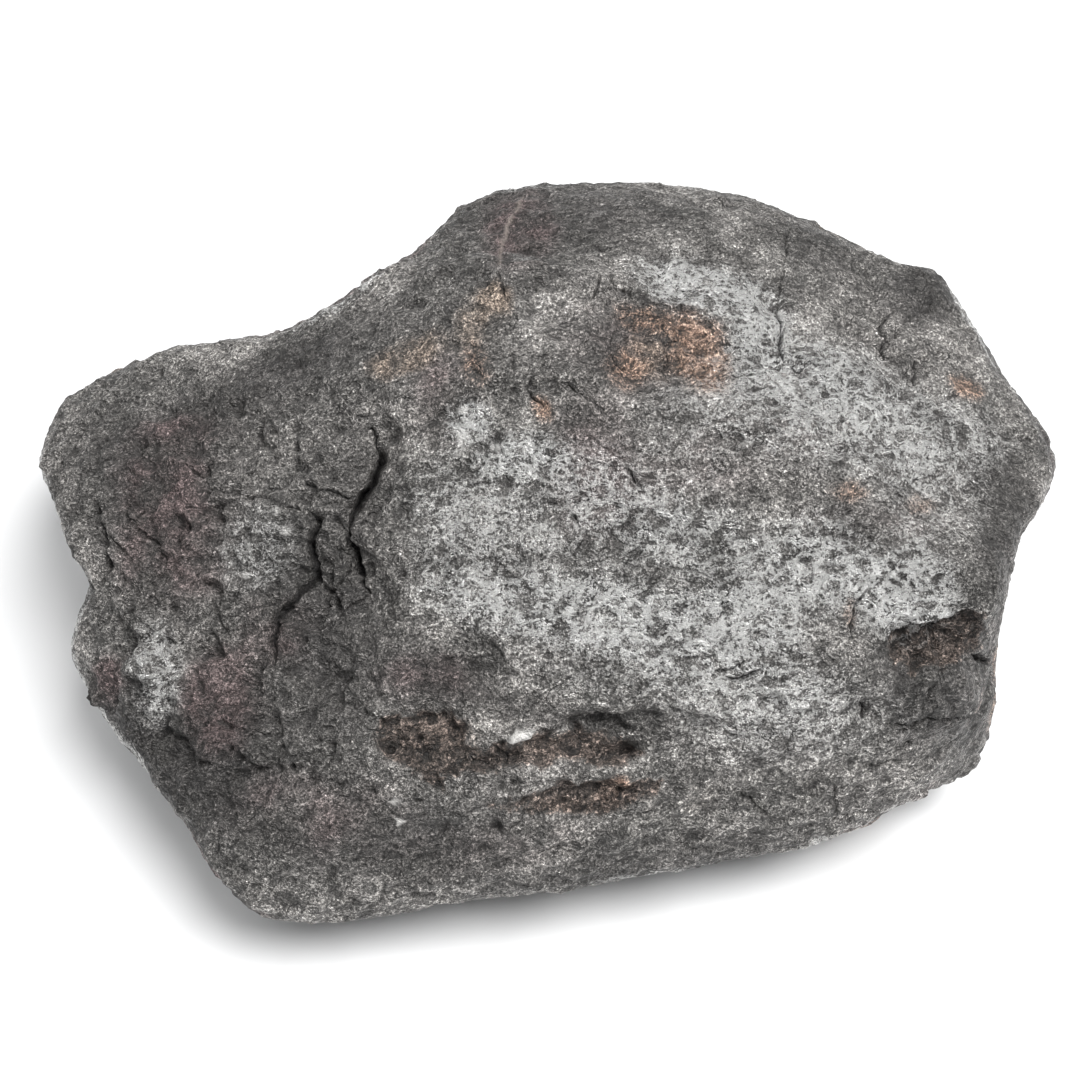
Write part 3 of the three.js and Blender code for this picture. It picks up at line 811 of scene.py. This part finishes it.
class StoneSkin(Shade):
    """The stone's material, from noises and from what the mesh keeps on each point."""

    def __init__(self):
        super().__init__("magnetite_skin")
        place = self.node("ShaderNodeMapping", {
            "Vector": self.node("ShaderNodeTexCoord").outputs["Object"],
            "Scale": (1 / MM, 1 / MM, 1 / MM),
        }).outputs[0]
        bend = self.node("ShaderNodeTexNoise", {
            "Vector": place, "Scale": 1 / SWIRL_SIZE, "Detail": 0.0,
        }).outputs["Color"]
        swirl = self.vector("ADD", place, self.scaled(self.vector("SUBTRACT", bend, MIDDLE), SWIRL_REACH))
        # The stone's grain, drawn out along it and climbing a little to the right
        grain = self.node("ShaderNodeMapping", {
            "Vector": swirl, "Rotation": (0, math.radians(-GRAIN_TILT), 0), "Scale": (GRAIN_STRETCH, 1, 1),
        }, vector_type="TEXTURE").outputs[0]

        # Grit, raised folds, thin webs, small facets, glinting flakes and creases
        self.grit = self.noise(place, GRIT_SIZE, 2, 0.9)
        self.folds = self.ridges(grain, FOLD_SIZE)
        webs = self.lines(grain, WEB_SIZE, 0.02)
        self.facets = self.cells(grain, FACET_SIZE)
        self.flakes = self.cells(grain, FLAKE_SIZE)
        self.mottle = self.kept("mottle")
        # Creases, sunk into the relief and darkened with painted shade
        creases = self.lines(self.vector("ADD", swirl, CREASE_OFFSET), CREASE_SIZE, 0.014)
        self.crease = self.math("MULTIPLY", creases, self.steps(self.mottle, 0.35, -0.35))

        # What breaks up the patches: finely, or in soft clouds
        self.grit_about = self.math("SUBTRACT", self.grit, 0.5)
        self.folds_about = self.math("SUBTRACT", self.folds, 1.1)
        self.broken_up = self.total(
            1.0, (self.grit_about, 3.0), (self.folds_about, 0.35), (self.mottle, 0.25),
        )
        self.clouded = self.total(1.0, (self.grit_about, 1.0), (self.mottle, 0.45))

        # The silvery patches: metallic lustre, partly painted sheen
        self.silver = self.flecked("silver", 0.46, self.broken_up)
        hollow = self.kept("hollow")
        # How deep each hollow is: painted shade there, partly dirt, and no metal
        self.deep = self.steps(hollow, 0.06, 0.4)
        # Where the surface stands above its surroundings: partly wear, partly painted highlight
        wear_and_highlight = self.steps(hollow, -0.06, -0.35)
        # Painted highlights on thin webs and folds, more of them on silvery places and on places that stand
        # above their surroundings, which is partly wear
        shown = self.total(
            self.folds, (self.grit_about, 1.8), (self.silver, 0.2), (wear_and_highlight, 0.25), (webs, 0.45),
        )
        self.crest = self.steps(shown, 1.4, 1.8)

    def flecked(self, name, softness, broken):
        """A kept patch broken up along its edge."""
        value = self.math("MULTIPLY", self.kept(name), broken)
        return self.steps(value, 0.5 - softness, 0.5 + softness)

    def patches(self):
        """The skin with its patches of colour and the grainy pockets."""
        skin = self.mix(self.kept("broad"), colour("skin"), colour("lighter skin"))
        # Dark patches: a darker skin, partly painted shade
        for name, softness, share in (("dark", 0.5, 0.85), ("purple", 0.5, 0.8), ("tan", 0.3, 0.6)):
            skin = self.covered(skin, self.flecked(name, softness, self.clouded), share, colour(name))
        # The silvery patches' colour: metallic lustre with painted sheen
        skin = self.covered(skin, self.silver, 0.75, colour("silver"))
        rust = self.mix(self.flakes, colour("rust"), colour("lighter rust"))
        skin = self.covered(skin, self.flecked("rust", 0.35, self.broken_up), 0.8, rust)
        light_grain = self.math("MULTIPLY", self.facets, self.flakes)
        grainy = self.mix(light_grain, colour("pocket"), colour("pocket grain"))
        return self.covered(skin, self.flecked("rough", 0.3, self.broken_up), 0.9, grainy)

    def colours(self):
        """The patches with lighter and darker grit, painted shade in hollows, creases and cracks,
        painted highlights on crests, and white bits.
        """
        facet_about = self.math("SUBTRACT", self.facets, 0.5)
        flake_about = self.math("SUBTRACT", self.flakes, 0.5)
        flecks = self.math("MULTIPLY", self.math("MULTIPLY", flake_about, flake_about), flake_about)
        spread = self.total(
            0.0, (self.grit_about, 6.5), (flecks, 9.0), (facet_about, 0.35), (self.folds_about, 0.2),
            (self.mottle, 0.4),
        )
        skin = self.scaled(self.patches(), self.math("EXPONENT", spread))
        # Painted shade, partly dirt, in creases and hollows
        for hole, share in ((self.crease, 0.75), (self.deep, 0.6)):
            skin = self.covered(skin, hole, share, colour("hollow"))
        # Painted highlights on crests: lit copies of the skin, near white on silvery places
        crest_highlight = self.mix(self.silver, self.scaled(skin, 1.9), colour("crest highlight"))
        skin = self.covered(skin, self.crest, 0.85, crest_highlight)
        # Veins and white bits in their own colours, and painted shade in the cracks
        for name, share in (("vein", 1.0), ("crack", 0.92), ("white", 1.0)):
            skin = self.covered(skin, self.kept(name), share, colour(name))
        return skin

    def metal(self):
        """How metallic it is: most on silvery crests, and not at all in pockets and hollows."""
        dull = self.math("MAXIMUM", self.math("MAXIMUM", self.kept("rough"), self.kept("white")), self.deep)
        share = self.total(0.2, (self.crest, 0.4), (self.silver, 0.35), (dull, -0.6))
        return self.steps(share, 0, 1, 0, 0.8)

    def normals(self):
        """Fine relief in millimetres, with facets and flakes that each tilt their own way."""
        height = self.total(0.0, (self.folds, 0.38), (self.grit, 0.75), (self.crease, -0.35))
        bright = self.math("ADD", self.silver, self.crest)
        flake_share = self.steps(bright, 0, 1.6, 0.3, 0.7)
        flake_lean = self.scaled(self.vector("SUBTRACT", self.flakes, MIDDLE), flake_share)
        facet_share = self.total(0.45, (self.kept("rough"), 0.5))
        facet_lean = self.scaled(self.vector("SUBTRACT", self.facets, MIDDLE), facet_share)
        tilted = self.vector("ADD", self.node("ShaderNodeNewGeometry").outputs["Normal"], flake_lean)
        tilted = self.vector("ADD", tilted, facet_lean)
        return self.node("ShaderNodeBump", {
            "Height": height, "Normal": self.vector("NORMALIZE", tilted), "Strength": 1.0, "Distance": MM,
        }).outputs[0]


def stone_material():
    skin = StoneSkin()
    inputs = skin.surface.inputs
    skin.link(skin.colours(), inputs["Base Color"])
    skin.link(skin.metal(), inputs["Metallic"])
    bright = skin.math("ADD", skin.crest, skin.silver)
    skin.link(skin.steps(bright, 0, 1.6, 0.62, 0.36), inputs["Roughness"])
    inputs["Specular IOR Level"].default_value = 0.35
    skin.link(skin.normals(), inputs["Normal"])
    return skin.material


def floor_material():
    shade = Shade("pale_table")
    tint = shade.noise(shade.node("ShaderNodeTexCoord").outputs["Object"], 0.4, 2)
    shade.link(shade.mix(tint, colour("table"), colour("lighter table")), shade.surface.inputs["Base Color"])
    shade.surface.inputs["Roughness"].default_value = 0.6
    return shade.material


# The stage

def look_from(item, place, at, upward=(0, 0, 1)):
    """Places a camera or a light so that it looks at a point, all in millimetres."""
    back = (Vector(place) - Vector(at)).normalized()
    right = Vector(upward).cross(back).normalized()
    turn = Matrix((right, back.cross(right), back)).transposed().to_4x4()
    item.matrix_world = Matrix.Translation(Vector(place) * MM) @ turn


def make_camera():
    camera = bpy.data.objects.new("camera", bpy.data.cameras.new("camera"))
    bpy.context.scene.collection.objects.link(camera)
    camera.data.lens = 50
    camera.data.sensor_width = 36
    camera.data.clip_start = 0.01
    look_from(camera, EYE, CENTRE)
    bpy.context.scene.camera = camera


def make_light(name, place, size, watts):
    lamp = bpy.data.lights.new(name, "AREA")
    lamp.shape = "DISK"
    lamp.size = size * MM
    lamp.energy = watts
    item = bpy.data.objects.new(name, lamp)
    bpy.context.scene.collection.objects.link(item)
    look_from(item, place, (0, 0, 30), (0.1, 1, 0))


def make_stage():
    mesh = bpy.data.meshes.new("table")
    corners = [(TABLE_HALF * x, TABLE_HALF * y, 0) for x, y in ((-1, -1), (1, -1), (1, 1), (-1, 1))]
    mesh.from_pydata(corners, [], [(0, 1, 2, 3)])
    table = new_object("table", mesh)
    table.data.materials.append(floor_material())
    for light in LIGHTS:
        make_light(*light)
    world = bpy.data.worlds.new("room_light")
    world.use_nodes = True
    background = world.node_tree.nodes["Background"].inputs
    background["Color"].default_value = colour("room light")
    background["Strength"].default_value = ROOM_STRENGTH
    bpy.context.scene.world = world
    bpy.context.scene.view_settings.view_transform = "Standard"


make_camera()
make_stage()
stone = make_stone(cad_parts["magnetite"])
stone.data.materials.clear()
stone.data.materials.append(stone_material())
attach(stone, "root")
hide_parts("magnetite")

bpy.context.view_layer.update()
